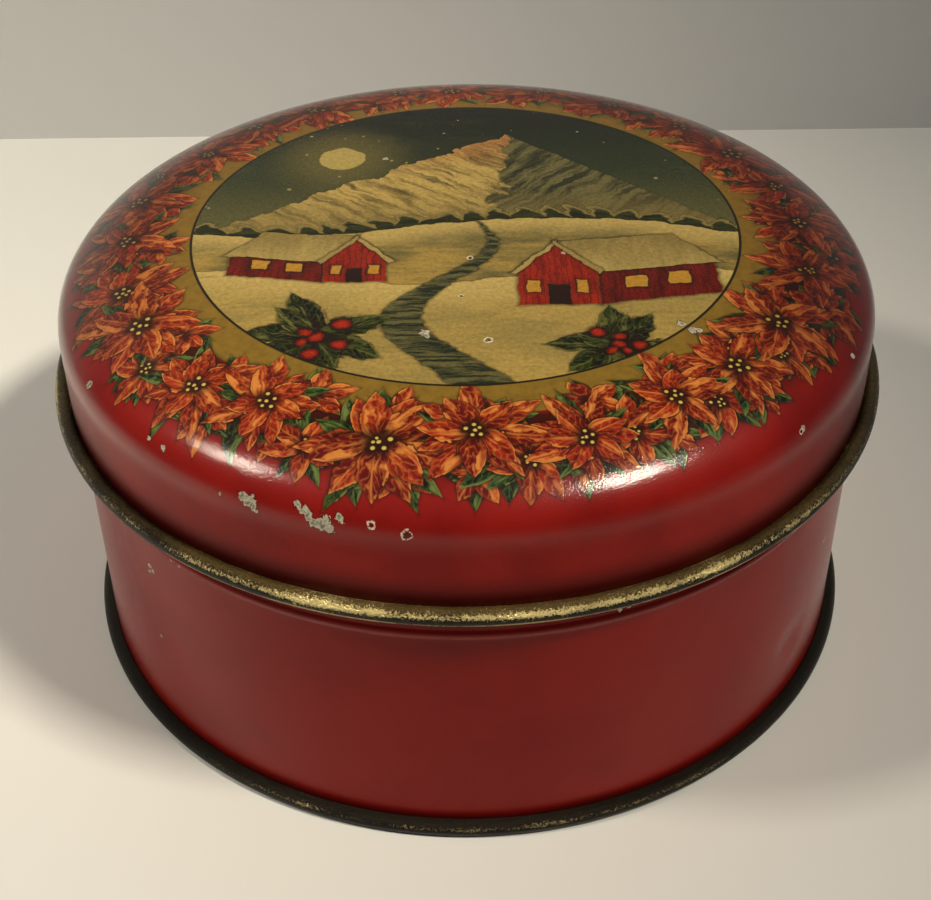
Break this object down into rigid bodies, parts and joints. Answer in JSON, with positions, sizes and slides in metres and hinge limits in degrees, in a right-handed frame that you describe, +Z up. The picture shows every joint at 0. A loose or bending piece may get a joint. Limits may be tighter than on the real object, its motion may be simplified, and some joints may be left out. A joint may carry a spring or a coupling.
{
  "type": "candy tin",
  "caption": "Round tinplate candy tin with a domed slip lid, a wired rim bead on the lid and a rolled seam as its foot; the lid lifts off and turns freely.",
  "frame": {"origin": "on the tin's axis, on the surface that the tin stands on", "axes": "+Z up along the tin's axis, -Y towards the side that the picture shows, side seam at +Y"},
  "size_m": [0.1556, 0.1556, 0.0787],
  "materials": {
    "lid_print": "glossy printed red on tinplate, gold lacquer inside, with small chips",
    "body_print": "glossy printed red on tinplate, gold lacquer inside, lightly scratched",
    "worn_gold": "gold lacquer on tinplate, tarnished brown and pitted",
    "rim_wire": "drawn steel wire"
  },
  "bodies": {
    "tin": {"body_wall": "body_print", "bottom_plate": "worn_gold"},
    "lid_rim": {"lid_rim_wire": "rim_wire"},
    "lid": {"lid_shell": "lid_print"}
  },
  "joints": [
    {"name": "lid_lift", "type": "slide", "parent": "tin", "child": "lid_rim", "axis": [0, 0, 1], "range_m": [0, 0.08]},
    {"name": "lid_turn", "type": "hinge", "parent": "lid_rim", "child": "lid", "pos_m": [0, 0, 0.0533], "axis": [0, 0, 1], "continuous": true}
  ]
}
